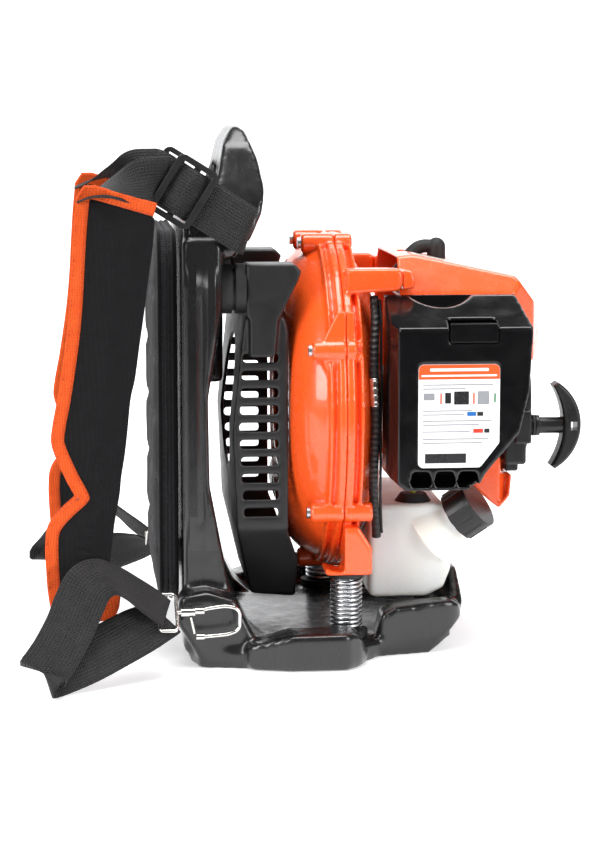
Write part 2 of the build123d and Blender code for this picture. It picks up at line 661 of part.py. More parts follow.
def rope_guide():
    guide = rod_x(6.9, 199, 206.4, ROPE_Y, ROPE_Z) + rod_x(9.5, 206.1, 208, ROPE_Y, ROPE_Z)
    return guide - rod_x(3.2, 190, 210, ROPE_Y, ROPE_Z)


def starter_handle():
    arc_out = ThreePointArc((228, 237), (249.5, 197), (226, 158))
    arc_in = ThreePointArc((222, 161), (233.5, 197), (223.5, 234))
    face = make_face(joined([arc_out, Line((226, 158), (222, 161)), arc_in,
                             Line((223.5, 234), (228, 237))]))
    bar = extrude(Plane.XZ.offset(-ROPE_Y - 10.5) * face, amount=21)
    bar = fillet(bar.edges().filter_by(Axis.Y, reverse=True), 3)
    stem = rod_x(7.5, 208.6, 238, ROPE_Y, ROPE_Z) + rod_x(9.5, 208.6, 212, ROPE_Y, ROPE_Z)
    slot = block(240, 246, ROPE_Y - 20, ROPE_Y + 20, ROPE_Z - 4, ROPE_Z + 4)
    return bar + stem - slot - rod_x(2.2, 200, 212, ROPE_Y, ROPE_Z)


# ---- control cables -----------------------------------------------------------------------
def throttle_conduit():
    return tube([(56, -98, 318), (56, -110, 298), (53, -122, 274), (52.5, -127, 248),
                 (54.5, -127.5, 222), (54, -127, 192), (53, -121, 162), (55, -110, 138),
                 (58, -102, 122), (59, -99, 104)], 4.0)


# ---- harness -------------------------------------------------------------------------------
def back_pad():
    pad = side([(-139, 52), (-139, 372), (-117, 380), (-116, 46)], -112, 112, 6, 5)
    return pad


def shoulder_pad():
    edge = [(-194, 408), (-198, 348), (-202, 289), (-210, 238), (-218, 204), (-197, 155),
            (-224, 127), (-224, 100), (-219, 54), (-184, 58), (-181, 76), (-175, 123),
            (-168, 173), (-161, 238), (-157, 250), (-147, 314), (-137, 392)]
    return side(edge, PAD_NEAR, PAD_FAR, 3, 3)


def tri_glide():
    """Ladder-lock slider on the left strap; the webbing runs along its local X."""
    ring = extrude(fillet(Rectangle(40, 56).vertices(), 7), amount=4.4)
    ring -= Pos(0, 0, 2) * Box(29, 46, 8)
    bar = Pos(0, 0, 2.2) * Box(6, 50, 3.4)
    return Plane(origin=(-112.6, BUCKLE_Y, 413), x_dir=TRAVEL, z_dir=(0, -1, 0)) * (ring + bar)


def strip(start, end, across_way, width=WEBBING_WIDTH, thickness=WEBBING):
    """Straight flat band between two points."""
    start, end = Vector(*start), Vector(*end)
    along = end - start
    place = Plane(origin=(start + end) / 2, x_dir=along, z_dir=along.cross(Vector(*across_way)))
    return place * Box(along.length, width, thickness)


def upper_webbing():
    """Adjuster strap: free tail, run behind the slider, wrap round the frame's shoulder."""
    tail = strip((-196, -147, 413), (-138, -147, 434), (0, 1, 0), 42)
    run = strip((-124, -136.2, 420.2), (-57.6, -133.8, 378.6), (0.53, 0, 0.848))
    wrap = strip((-57.1, -134, 378.6), (-57.1, -100, 378.6), (0, 0, 1), 36)
    return joined([tail, run + wrap])


def lower_webbing():
    """Waist end of the strap: from the snap hook's ring over a hump and down to the floor."""
    rise = strip((-143, -171, 55.5), (-178, -178, 80), RING_SLOPE, 42)
    fall = strip((-178, -199, 56), (-234, -238, 19.5), (0.856, 0, -0.517), 46, 5)
    return group([rise, fall])


# ---- snap hook ---------------------------------------------------------------------------
def hook_ring():
    """Rectangular loop for the webbing, with the swivel's pin."""
    near, far = Vector(0, HOOK_Y - 20, SWIVEL_Z - 11.6), Vector(0, HOOK_Y + 20, SWIVEL_Z + 11.6)
    right, left = Vector(-123, 0, 0), Vector(-138, 0, 0)
    loop = FilletPolyline(near + right, far + right, far + left, near + left, radius=3.5,
                          close=True)
    start = Plane(origin=(near + far) / 2 + right, z_dir=far - near)
    ring = sweep(start * Circle(WIRE), path=loop)
    return ring + rod_x(1.5, -123, -109, HOOK_Y, SWIVEL_Z)


def snap_hook():
    """Swivel barrel and the bent wire, with its end knob."""
    barrel = rod_x(3.5, -119, -107, HOOK_Y, SWIVEL_Z) - rod_x(1.5 + FIT, -120, -108.5, HOOK_Y, SWIVEL_Z)
    wire = tube([(-108.4, HOOK_Y, SWIVEL_Z), (-96, HOOK_Y, SWIVEL_Z + 3), (-80, HOOK_Y, SWIVEL_Z + 5),
                 (-68.5, HOOK_Y, SWIVEL_Z + 2), (-68.5, HOOK_Y, SWIVEL_Z - 16),
                 (-78, HOOK_Y, SWIVEL_Z - 20), (-104, HOOK_Y, SWIVEL_Z - 22)], WIRE)
    sleeve = rod_x(2.9, -107.2, -99, HOOK_Y, SWIVEL_Z + 1)
    return barrel + sleeve + wire + rod_x(2.5, -106, -99, HOOK_Y, SWIVEL_Z - 21.6)


def hook_gate():
    """Flat spring that closes the hook's mouth."""
    return side([(-111.6, SWIVEL_Z - 4), (-109.8, SWIVEL_Z - 4), (-106.8, SWIVEL_Z - 18.2),
                 (-108.4, SWIVEL_Z - 18.6)], HOOK_Y - 2.5, HOOK_Y + 2.5)


# ---- the whole machine -------------------------------------------------------------------
def power_unit_parts():
    return {
        "inlet_guard": inlet_guard(), "volute_front": volute_front(),
        "volute_rear": volute_rear(), "volute_screws": volute_screws(),
        "outlet_spigot": outlet_spigot(), "fan_impeller": fan_impeller(),
        "crankcase": crankcase(), "crank_bearings": crank_bearings(),
        "crankshaft": crankshaft(), "connecting_rod": connecting_rod(),
        "rod_pins": rod_pins(), "piston": piston(), "cylinder": cylinder(),
        "spark_plug": spark_plug(), "plug_boot": plug_boot(),
        "ignition_lead": ignition_lead(), "ignition_coil": ignition_coil(),
        "flywheel": flywheel(), "carburettor": carburettor(),
        "intake_insulator": intake_insulator(), "throttle_lever": throttle_lever(),
        "throttle_conduit": throttle_conduit(), "muffler": muffler(),
        "muffler_guard": muffler_guard(), "engine_cover": engine_cover(),
        "airbox_base": airbox_base(), "air_filter": air_filter(),
        "airbox_cover": airbox_cover(), "cover_latch": cover_latch(),
        "instruction_label": instruction_label(), "choke_lever": choke_lever(),
        "fuel_tank": fuel_tank(), "tank_grommet": tank_grommet(), "fuel_line": fuel_line(),
        "fuel_pickup": fuel_pickup(), "filler_cap": filler_cap(), "cap_gasket": cap_gasket(),
        "starter_housing": starter_housing(), "starter_pulley": starter_pulley(),
        "starter_pawls": starter_pawls(), "starter_rope": starter_rope(),
        "recoil_spring": recoil_spring(), "rope_guide": rope_guide(),
        "starter_handle": starter_handle(),
    }


def carrier_parts():
    return {
        "carrying_frame": carrying_frame(), "rubber_buffers": rubber_buffers(),
        "suspension_springs": suspension_springs(), "spring_cups": spring_cups(),
        "back_pad": back_pad(), "upper_webbings": group(both_sides(upper_webbing())),
        "lower_webbings": group(both_sides(lower_webbing())),
        "tri_glides": group(both_sides(tri_glide())),
        "hook_rings": group(both_sides(hook_ring())),
    }


def paired_parts():
    """Left-hand pieces whose right-hand ones are their mirror images."""
    return {"shoulder_pad": shoulder_pad(), "snap_hook": snap_hook(), "hook_gate": hook_gate()}


def main():
    os.makedirs("parts", exist_ok=True)
    for name, shape in (power_unit_parts() | carrier_parts()).items():
        export_step(shape, f"parts/{name}.step")
    for name, shape in paired_parts().items():
        export_step(shape, f"parts/{name}_left.step")
        export_step(mirror(shape, about=Plane.XZ), f"parts/{name}_right.step")


main()
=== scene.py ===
import json
import math

import bpy
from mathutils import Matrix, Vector, noise
from mathutils.bvhtree import BVHTree


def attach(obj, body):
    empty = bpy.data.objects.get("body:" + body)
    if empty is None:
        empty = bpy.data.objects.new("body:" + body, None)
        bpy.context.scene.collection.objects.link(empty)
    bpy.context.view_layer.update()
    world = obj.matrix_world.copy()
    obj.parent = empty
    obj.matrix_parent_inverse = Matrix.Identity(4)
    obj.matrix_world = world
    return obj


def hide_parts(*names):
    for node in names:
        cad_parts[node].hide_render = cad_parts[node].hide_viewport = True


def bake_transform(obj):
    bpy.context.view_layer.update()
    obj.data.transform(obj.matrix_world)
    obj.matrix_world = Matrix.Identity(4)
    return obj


# Backpack leaf blower. Metres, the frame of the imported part: +X to the engine side, -X to
# the wearer, -Y the machine's left, +Z up. Every object sits at the origin, so Object
# coordinates in a material are metres in that frame.

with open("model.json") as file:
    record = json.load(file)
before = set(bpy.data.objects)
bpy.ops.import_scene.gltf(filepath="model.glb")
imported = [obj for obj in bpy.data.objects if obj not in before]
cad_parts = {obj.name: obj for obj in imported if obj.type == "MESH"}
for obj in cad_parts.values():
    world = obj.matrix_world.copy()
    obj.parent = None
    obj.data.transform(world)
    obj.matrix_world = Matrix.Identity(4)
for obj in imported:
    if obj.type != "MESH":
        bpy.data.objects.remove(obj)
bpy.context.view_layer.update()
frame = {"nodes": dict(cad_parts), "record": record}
NODES = frame["nodes"]


# ---- material kit ------------------------------------------------------------------
class Paint:
    """A Principled material and short ways to add nodes to it."""

    def __init__(self, name):
        self.material = bpy.data.materials.new(name)
        self.material.use_nodes = True
        self.tree = self.material.node_tree
        self.shader = self.tree.nodes["Principled BSDF"]
        self.coords = self.tree.nodes.new("ShaderNodeTexCoord")
        self.place = self.coords.outputs["Object"]
        self.uv = self.coords.outputs["UV"]
        self.edge = None

    def node(self, kind, inputs=None, **settings):
        made = self.tree.nodes.new("ShaderNode" + kind)
        for key, value in settings.items():
            setattr(made, key, value)
        for key, value in (inputs or {}).items():
            self.put(made.inputs[key], value)
        return made

    def put(self, socket, value):
        if isinstance(value, bpy.types.NodeSocket):
            self.tree.links.new(value, socket)
        else:
            socket.default_value = value

    def set(self, **values):
        for key, value in values.items():
            self.put(self.shader.inputs[key.replace("_", " ")], value)
        return self

    def maths(self, operation, a, b=0.0, c=0.0):
        made = self.node("Math", operation=operation)
        for socket, value in zip(made.inputs, (a, b, c)):
            self.put(socket, value)
        return made.outputs[0]

    def stretched(self, x=1.0, y=1.0, z=1.0, source=None):
        made = self.node("Mapping", {"Vector": source or self.place, "Scale": (x, y, z)})
        return made.outputs[0]

    def noise(self, scale, detail=3.0, rough=0.55, vector=None, warp=0.0):
        made = self.node("TexNoise", {"Vector": vector or self.place, "Scale": scale,
                                      "Detail": detail, "Roughness": rough,
                                      "Distortion": warp})
        return made.outputs["Fac"]

    def cells(self, scale, vector=None, feature="F1", random=1.0):
        made = self.node("TexVoronoi", {"Vector": vector or self.place, "Scale": scale,
                                        "Randomness": random}, feature=feature)
        return made.outputs["Distance"]

    def waves(self, scale, vector=None, direction="X", warp=0.0):
        made = self.node("TexWave", {"Vector": vector or self.place, "Scale": scale,
                                     "Distortion": warp, "Detail": 1.0,
                                     "Detail Scale": 1.5},
                         bands_direction=direction)
        return made.outputs["Fac"]

    def span(self, value, low, high, from_low=0.0, from_high=1.0):
        made = self.node("MapRange", {"Value": value, "From Min": from_low,
                                      "From Max": from_high, "To Min": low, "To Max": high})
        return made.outputs[0]

    def tint(self, share, a, b):
        made = self.node("Mix", data_type="RGBA")
        self.put(made.inputs["Factor"], share)
        self.put(made.inputs[6], (*a, 1.0) if isinstance(a, tuple) else a)
        self.put(made.inputs[7], (*b, 1.0) if isinstance(b, tuple) else b)
        return made.outputs[2]

    def relief(self, height, depth, under=None, strength=1.0):
        made = self.node("Bump", {"Height": height, "Strength": strength, "Distance": depth})
        under = self.edge if under is None else under
        if under is not None:
            self.put(made.inputs["Normal"], under)
        return made.outputs["Normal"]

    def rounded(self, radius):
        """Sharp edges shade as if rounded to this radius."""
        self.edge = self.node("Bevel", {"Radius": radius}, samples=4).outputs[0]
        return self


def srgb(r, g, b):
    """Linear colour of an 8-bit sRGB one."""
    def line(c):
        c /= 255
        return c / 12.92 if c <= 0.04045 else ((c + 0.055) / 1.055) ** 2.4
    return line(r), line(g), line(b)


def times(colour, factor):
    return tuple(min(1.0, c * factor) for c in colour)


def moulded(name, colour, rough, grain=900.0, depth=0.00006, mottle=0.10, coat=0.0, wave=0.0):
    """Moulded plastic: mottled colour, handled sheen, moulding grain and slow ripples."""
    p = Paint(name).rounded(0.0012)
    cloud = p.noise(11, 2, vector=p.stretched(1, 1, 0.6))
    smear = p.noise(46, 5, 0.62, warp=0.4)
    base = p.tint(cloud, times(colour, 1 - mottle), times(colour, 1 + mottle))
    dust = p.span(p.noise(240, 4, 0.7), 0, 0.10, 0.58, 0.80)
    base = p.tint(dust, base, times(colour, 1.5))
    p.set(Base_Color=base, Roughness=p.span(smear, rough - 0.07, rough + 0.09, 0.3, 0.75))
    normal = p.relief(p.noise(grain, 3), depth)
    if wave:
        normal = p.relief(p.noise(30, 1, vector=p.stretched(1, 1, 0.7)), wave, normal)
    p.set(Normal=normal)
    if coat:
        p.set(Coat_Weight=coat, Coat_Roughness=0.06)
    return p


def metal(name, colour, rough, streak=(400, 400, 30), depth=0.00003, stain=0.12):
    """Worked metal: drawing marks, cloudy tarnish and an uneven polish."""
    p = Paint(name).rounded(0.0004)
    marks = p.noise(1.0, 4, 0.6, vector=p.stretched(*streak))
    cloud = p.noise(70, 4, 0.6)
    base = p.tint(p.span(cloud, 0, 1, 0.35, 0.7), times(colour, 1 - stain), colour)
    p.set(Base_Color=base, Metallic=1.0, Normal=p.relief(marks, depth),
          Roughness=p.span(marks, rough - 0.06, rough + 0.10, 0.3, 0.7))
    return p


def orange_plastic():
    return moulded("orange_plastic", srgb(255, 92, 34), 0.26, grain=1300, depth=0.00002,
                   mottle=0.025, coat=0.6, wave=0.0004)


def cast_alloy():
    p = metal("cast_alloy", (0.56, 0.56, 0.55), 0.46, streak=(700, 700, 700), depth=0.0001)
    skin = p.relief(p.cells(1400), 0.00008, p.relief(p.noise(500, 4), 0.00012))
    p.set(Normal=skin)
    return p


def muffler_steel():
    p = metal("muffler_steel", (0.50, 0.47, 0.43), 0.42)
    heat = p.tint(p.span(p.noise(32, 3), 0, 1, 0.35, 0.7), (0.50, 0.47, 0.43),
                  (0.30, 0.19, 0.12))
    p.set(Base_Color=heat)
    return p


def cable_sheath():
    """Black spiral wrap over the throttle cable: a slanting thread and a dull skin."""
    p = moulded("cable_sheath", (0.016, 0.016, 0.017), 0.48, grain=1500)
    turns = p.waves(62, p.stretched(0.25, 0.25, 1.0), "Z")
    p.set(Normal=p.relief(turns, 0.0007, p.relief(p.noise(1500, 2), 0.00004)),
          Roughness=p.span(turns, 0.62, 0.40))
    return p


def tank_plastic():
    """Milky blow-moulded polythene: light passes a little, the wall is cloudy and orange-peeled."""
    p = Paint("tank_plastic")
    cloud = p.noise(24, 3, 0.5)
    warm = p.tint(cloud, srgb(232, 226, 210), srgb(250, 247, 238))
    p.set(Base_Color=warm, Roughness=p.span(p.noise(120, 3), 0.30, 0.46),
          Subsurface_Weight=0.55, Subsurface_Scale=0.02,
          Normal=p.relief(p.noise(340, 3, 0.6), 0.00018, p.relief(p.noise(60, 2), 0.0006)))
    p.shader.inputs["Subsurface Radius"].default_value = (1.0, 0.8, 0.55)
    return p


def fuel_hose():
    p = Paint("fuel_hose")
    tone = p.tint(p.noise(160, 3), srgb(150, 165, 26), srgb(205, 214, 60))
    p.set(Base_Color=tone, Roughness=0.28, Subsurface_Weight=0.4, Subsurface_Scale=0.004,
          Normal=p.relief(p.waves(420, direction="Z"), 0.00006))
    return p


def filter_foam():
    p = Paint("filter_foam")
    pores = p.cells(1100)
    # Painted shade: the pores are painted darker than the struts between them.
    tone = p.tint(p.span(pores, 0, 1, 0.1, 0.6), (0.012, 0.012, 0.012), (0.075, 0.075, 0.07))
    p.set(Base_Color=tone, Roughness=0.95, Normal=p.relief(pores, 0.0006))
    return p


def braided_rope():
    p = Paint("rope")
    a = p.waves(330, p.stretched(1, 1, 1), "DIAGONAL")
    b = p.waves(330, p.stretched(1, -1, -1), "DIAGONAL")
    braid = p.maths("MAXIMUM", a, b)
    # Painted shade: the gaps between the strands are painted near black and the crests light grey.
    tone = p.tint(braid, (0.012, 0.012, 0.013), (0.20, 0.19, 0.18))
    p.set(Base_Color=tone, Roughness=0.8, Normal=p.relief(braid, 0.0003))
    return p


def label_sheet():
    """Vinyl label: satin white film that is faintly uneven where it is stuck down."""
    p = Paint("label")
    tone = p.tint(p.noise(30, 3), srgb(238, 238, 240), srgb(250, 250, 250))
    p.set(Base_Color=tone, Roughness=p.span(p.noise(180, 3), 0.28, 0.42),
          Normal=p.relief(p.noise(90, 2), 0.0002))
    return p


def rubber(name, tone, rough):
    p = Paint(name)
    bloom = p.noise(120, 5, 0.65)
    p.set(Base_Color=p.tint(p.span(bloom, 0, 1, 0.4, 0.75), tone, times(tone, 1.9)),
          Roughness=p.span(bloom, rough - 0.05, rough + 0.1),
          Normal=p.relief(p.noise(1100, 3), 0.00008))
    return p


def insulator():
    p = moulded("insulator_plastic", (0.045, 0.022, 0.012), 0.5)
    p.set(Normal=p.relief(p.noise(700, 4, vector=p.stretched(1, 6, 1)), 0.00008))
    return p


def frame_plastic():
    """Blow-moulded polythene: soft sheen, faint flow marks running down, scuffed skin."""
    p = Paint("frame_plastic")
    flow = p.noise(1.0, 4, 0.6, vector=p.stretched(60, 60, 9), warp=0.3)
    scuff = p.span(p.noise(1.0, 6, 0.7, vector=p.stretched(420, 420, 120)), 0, 1, 0.62, 0.78)
    base = p.tint(flow, (0.0060, 0.0060, 0.0066), (0.0115, 0.0115, 0.0125))
    base = p.tint(p.maths("MULTIPLY", scuff, 0.22), base, (0.08, 0.08, 0.082))
    x, _, z = p.node("SeparateXYZ", {"Vector": p.place}).outputs
    ribs = p.maths("PINGPONG", p.maths("ADD", x, 0.114), 0.0085)
    upright = p.maths("MULTIPLY", p.span(x, 1, 0, -0.086, -0.080),
                      p.maths("MULTIPLY", p.span(z, 0, 1, 0.10, 0.13), p.span(z, 1, 0, 0.33, 0.35)))
    fluted = p.maths("MULTIPLY", p.span(ribs, 0, 1, 0.0, 0.0050), upright)
    p.set(Base_Color=base, Roughness=p.span(flow, 0.20, 0.32, 0.3, 0.7),
          Coat_Weight=0.35, Coat_Roughness=0.16,
          Normal=p.relief(p.noise(1000, 3), 0.00005,
                          p.relief(fluted, 0.0030, p.relief(
                              p.noise(36, 2, vector=p.stretched(1, 1, 0.5)), 0.0012))))
    return p


def fabric(name, tone, lift, scale=1100.0, depth=0.00022, sheen=0.35, slack=0.0009):
    """Plain-woven nylon: crossed threads, a broken colour and soft slack in the cloth."""
    p = Paint(name)
    warp_threads = p.waves(scale / 6.28, p.stretched(1, 1, 0.02), "DIAGONAL", 0.6)
    weft_threads = p.waves(scale / 6.28, direction="Z", warp=0.6)
    weave = p.maths("MULTIPLY", warp_threads, weft_threads)
    broken = p.noise(90, 5, 0.65)
    base = p.tint(broken, tone, lift)
    # Painted shade: the gaps between the threads are darkened towards black.
    base = p.tint(p.span(weave, 0.35, 0.0), base, (0.0, 0.0, 0.0))
    soft = p.relief(p.noise(55, 3, 0.5), slack)
    p.set(Base_Color=base, Roughness=p.span(broken, 0.72, 0.9),
          Specular_IOR_Level=0.12, Sheen_Weight=sheen, Sheen_Roughness=0.4,
          Normal=p.relief(weave, depth, soft))
    return p


def mesh_fabric():
    """Spacer mesh of the back pad: rows of small open cells in dark cloth, with painted shade
    filling each cell.
    """
    p = Paint("mesh_fabric")
    rows = p.stretched(1, 1, 1.45)
    open_cells = p.cells(330, rows, random=0.12)
    hole = p.span(open_cells, 1, 0, 0.22, 0.42)
    dark = p.noise(60, 3)
    # Painted shade: the open cells are painted near black, as shade inside each cell.
    base = p.tint(hole, (0.030, 0.030, 0.033), (0.004, 0.004, 0.004))
    base = p.tint(p.span(dark, 0, 0.25), base, (0.055, 0.055, 0.058))
    p.set(Base_Color=base, Roughness=0.82, Sheen_Weight=0.08, Sheen_Roughness=0.5,
          Specular_IOR_Level=0.15,
          Normal=p.relief(hole, -0.0007, p.relief(p.noise(70, 2), 0.0006)))
    return p


def woven_webbing():
    """Polypropylene webbing: ribs across the strap, chevrons along it, dense selvedges."""
    p = Paint("webbing")
    parts = p.node("SeparateXYZ", {"Vector": p.uv}).outputs
    across, along = parts[0], parts[1]
    zigzag = p.maths("PINGPONG", across, 0.0012)
    ribs = p.maths("SINE", p.maths("MULTIPLY", p.maths("ADD", along, zigzag), 2856.0))
    cords = p.maths("SINE", p.maths("MULTIPLY", across, 2240.0))
    weave = p.maths("ADD", p.maths("MULTIPLY", ribs, 0.6), p.maths("MULTIPLY", cords, 0.4))
    worn = p.noise(75, 5, 0.65)
    # Painted light and shade: the crests of the ribs and cords are painted lighter and the grooves
    # between them darker.
    base = p.tint(p.span(weave, 0, 1, -1, 1), (0.0022, 0.0022, 0.0024), (0.030, 0.030, 0.032))
    base = p.tint(p.span(worn, 0, 0.22, 0.45, 0.8), base, (0.06, 0.06, 0.062))
    p.set(Base_Color=base, Roughness=p.span(worn, 0.50, 0.70), Sheen_Weight=0.05,
          Specular_IOR_Level=0.3,
          Normal=p.relief(weave, 0.0006, p.relief(p.noise(40, 2), 0.0008)))
    return p


def thread_material(name, tone):
    p = Paint(name)
    twist = p.waves(500, p.stretched(1, 1, 1), "DIAGONAL")
    # Painted shade: the thread is darker in the grooves of its twist.
    p.set(Base_Color=p.tint(twist, times(tone, 0.55), tone), Roughness=0.7,
          Normal=p.relief(twist, 0.00012))
    return p


def paints():
    made = {
        "orange_plastic": orange_plastic(),
        "frame_plastic": frame_plastic(),
        "guard_plastic": moulded("guard_plastic", (0.0085, 0.0085, 0.009), 0.42, depth=0.00012),
        "airbox_plastic": moulded("airbox_plastic", (0.0045, 0.0045, 0.005), 0.15,
                                  grain=1500, depth=0.00002, mottle=0.25, wave=0.0005),
        "fan_plastic": moulded("fan_plastic", (0.02, 0.02, 0.022), 0.42),
        "buckle_plastic": moulded("buckle_plastic", (0.012, 0.012, 0.013), 0.40),
        "cap_plastic": moulded("cap_plastic", (0.0045, 0.0045, 0.005), 0.32, depth=0.0001),
        "insulator_plastic": insulator(),
        "rubber": rubber("rubber", (0.0065, 0.0065, 0.007), 0.58),
        "spring_steel": metal("spring_steel", (0.72, 0.73, 0.75), 0.24, (60, 60, 900)),
        "nickel": metal("nickel", (0.74, 0.72, 0.69), 0.17, (300, 300, 300), 0.00002, 0.06),
        "screw_steel": metal("screw_steel", (0.60, 0.60, 0.62), 0.33, (900, 900, 900)),
        "bearing_steel": metal("bearing_steel", (0.62, 0.63, 0.66), 0.2, (40, 900, 900)),
        "muffler_steel": muffler_steel(),
        "cast_alloy": cast_alloy(),
        "cable_sheath": cable_sheath(),
        "filter_foam": filter_foam(),
        "tank_plastic": tank_plastic(),
        "fuel_hose": fuel_hose(),
        "rope": braided_rope(),
        "label": label_sheet(),
        "pad_fabric": fabric("pad_fabric", (0.0055, 0.0055, 0.0062), (0.015, 0.015, 0.0165),
                             sheen=0.12),
        "binding": fabric("orange_binding", srgb(244, 84, 28), srgb(255, 112, 52),
                          scale=1500, sheen=0.2, slack=0.0005),
        "mesh": mesh_fabric(),
        "webbing": woven_webbing(),
        "orange_thread": thread_material("orange_thread", srgb(226, 78, 28)),
        "print_blue": moulded("print_blue", srgb(30, 110, 190), 0.34, depth=0.00001),
        "print_red": moulded("print_red", srgb(214, 60, 40), 0.34, depth=0.00001),
        "print_orange": moulded("print_orange", srgb(250, 92, 40), 0.32, depth=0.00001),
        "print_grey": moulded("print_grey", srgb(150, 152, 156), 0.34, depth=0.00001),
        "print_dark": moulded("print_dark", (0.02, 0.02, 0.022), 0.3, depth=0.00001),
        "print_green": moulded("print_green", srgb(28, 132, 74), 0.34, depth=0.00001),
    }
    return {name: p.material for name, p in made.items()}


PAINT = paints()


def finish_cad_nodes():
    """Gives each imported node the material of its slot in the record."""
    slot_of = {part["node"]: part["material_slot"] for part in frame["record"]["subparts"]}
    for name, obj in NODES.items():
        obj.data.materials.clear()
        obj.data.materials.append(PAINT[slot_of[name]])


SOFTENED = {"carrying_frame": (0.0024, 10), "inlet_guard": (0.0015, 2),
            "volute_front": (0.0016, 5), "volute_rear": (0.0016, 5),
            "engine_cover": (0.0015, 5), "airbox_cover": (0.0014, 3),
            "fuel_tank": (0.0017, 6)}


def soften_mouldings():
    """Rounds the moulded pieces' edges as their tools do: a fine grid, then a few smoothings."""
    for name, (grid, rounds) in SOFTENED.items():
        mesh = NODES[name].modifiers.new("grid", "REMESH")
        mesh.mode = "VOXEL"
        mesh.voxel_size = grid
        mesh.use_smooth_shade = True
        ease = NODES[name].modifiers.new("ease", "SMOOTH")
        ease.factor = 0.5
        ease.iterations = rounds


# ---- shape kit -----------------------------------------------------------------------
def mm(points):
    return [Vector(p) * 0.001 for p in points]


def spline(points, steps):
    """Points on a smooth line through the given ones."""
    ends = [points[0] * 2 - points[1]] + list(points) + [points[-1] * 2 - points[-2]]
    line = []
    for a, b, c, d in zip(ends, ends[1:], ends[2:], ends[3:]):
        for k in range(steps):
            t = k / steps
            line.append(0.5 * (2 * b + (c - a) * t + (2 * a - 5 * b + 4 * c - d) * t * t
                               + (3 * b - a - 3 * c + d) * t * t * t))
    return line + [points[-1].copy()]


def spaced(line, count):
    """The line again, as count points at equal distances."""
    reach = [0.0]
    for a, b in zip(line, line[1:]):
        reach.append(reach[-1] + (b - a).length)
    out, k = [], 0
    for i in range(count):
        want = reach[-1] * i / (count - 1)
        while k < len(line) - 2 and reach[k + 1] < want:
            k += 1
        share = (want - reach[k]) / max(reach[k + 1] - reach[k], 1e-9)
        out.append(line[k].lerp(line[k + 1], min(1.0, max(0.0, share))))
    return out


def tangents(line, closed=False):
    n = len(line)
    if closed:
        return [(line[(i + 1) % n] - line[i - 1]).normalized() for i in range(n)]
    return [(line[min(i + 1, n - 1)] - line[max(i - 1, 0)]).normalized() for i in range(n)]


def eased(t):
    t = min(1.0, max(0.0, t))
    return t * t * (3 - 2 * t)


def placed(name, verts, faces, material, smooth=True):
    """A mesh object in the scene, not yet on any body."""
    mesh = bpy.data.meshes.new(name)
    mesh.from_pydata([tuple(v) for v in verts], [], faces)
    mesh.materials.append(material)
    if smooth:
        mesh.shade_smooth()
    obj = bpy.data.objects.new(name, mesh)
    bpy.context.scene.collection.objects.link(obj)
    return obj


def make(name, verts, faces, paint, body, uvs=None, smooth=True, detail=0, mirrored=False):
    """A mesh piece that rides on a body. Mirrored turns it over to the machine's right."""
    if mirrored:
        verts = [(v[0], -v[1], v[2]) for v in verts]
        faces = [tuple(reversed(f)) for f in faces]
    obj = placed(name, verts, faces, PAINT[paint], smooth)
    if uvs:
        layer = obj.data.uv_layers.new(name="UVMap")
        for loop in obj.data.loops:
            layer.data[loop.index].uv = uvs[loop.vertex_index]
    if detail:
        obj.modifiers.new("detail", "SUBSURF").levels = detail
        obj.modifiers["detail"].render_levels = detail
    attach(obj, body)
    return obj


def sleeve(rows, closed_rows=False):
    """Faces of a skin over rows of equally many points; each row is a closed ring."""
    n, m = len(rows), len(rows[0])
    verts = [v for row in rows for v in row]
    faces = []
    for i in range(n if closed_rows else n - 1):
        a, b = i * m, ((i + 1) % n) * m
        for j in range(m):
            k = (j + 1) % m
            faces.append((a + j, a + k, b + k, b + j))
    if not closed_rows:
        faces.append(tuple(reversed(range(m))))
        faces.append(tuple((n - 1) * m + j for j in range(m)))
    return verts, faces


def round_rows(line, radius, sides=10, closed=False):
    """Circular rings about a line; radius may be a function of the point's number."""
    rows = []
    for i, (p, t) in enumerate(zip(line, tangents(line, closed))):
        across = t.cross(Vector((0, 1, 0)))
        across = (across if across.length > 1e-3 else t.cross(Vector((1, 0, 0)))).normalized()
        other = t.cross(across)
        r = radius(i) if callable(radius) else radius
        rows.append([p + across * (r * math.cos(2 * math.pi * j / sides))
                     + other * (r * math.sin(2 * math.pi * j / sides)) for j in range(sides)])
    return rows


def round_tube(name, line, radius, paint, body, sides=10, closed=False):
    verts, faces = sleeve(round_rows(line, radius, sides, closed), closed_rows=closed)
    return make(name, verts, faces, paint, body)


def stitches(name, line, lifts, paint, body, stride=0.0042, long=0.0029, thick=0.00038,
             mirrored=False):
    """A row of separate thread stitches along a line, each a small spindle."""
    length = sum((b - a).length for a, b in zip(line, line[1:]))
    count = int(length / stride)
    dots = spaced(line, count * 4 + 1)
    raised = spaced(lifts, count * 4 + 1)
    verts, faces = [], []
    for k in range(count):
        a, c = dots[4 * k], dots[4 * k + 3]
        up = (raised[4 * k + 1] - dots[4 * k + 1]).normalized()
        way = (c - a).normalized()
        flat = way.cross(up)
        mid = (a + c) / 2 + up * thick * 0.4
        first = len(verts)
        verts += [mid - way * long / 2 - up * thick, mid + way * long / 2 - up * thick,
                  mid + up * thick, mid - up * thick * 1.5, mid + flat * thick,
                  mid - flat * thick]
        for x, y in ((4, 2), (2, 5), (5, 3), (3, 4)):
            faces += [(first, first + x, first + y), (first + 1, first + y, first + x)]
    return make(name, verts, faces, paint, body, mirrored=mirrored)


# ---- webbing ---------------------------------------------------------------------------
RIBBON_COLUMNS = 11
WEBBING_THICK = 0.0017


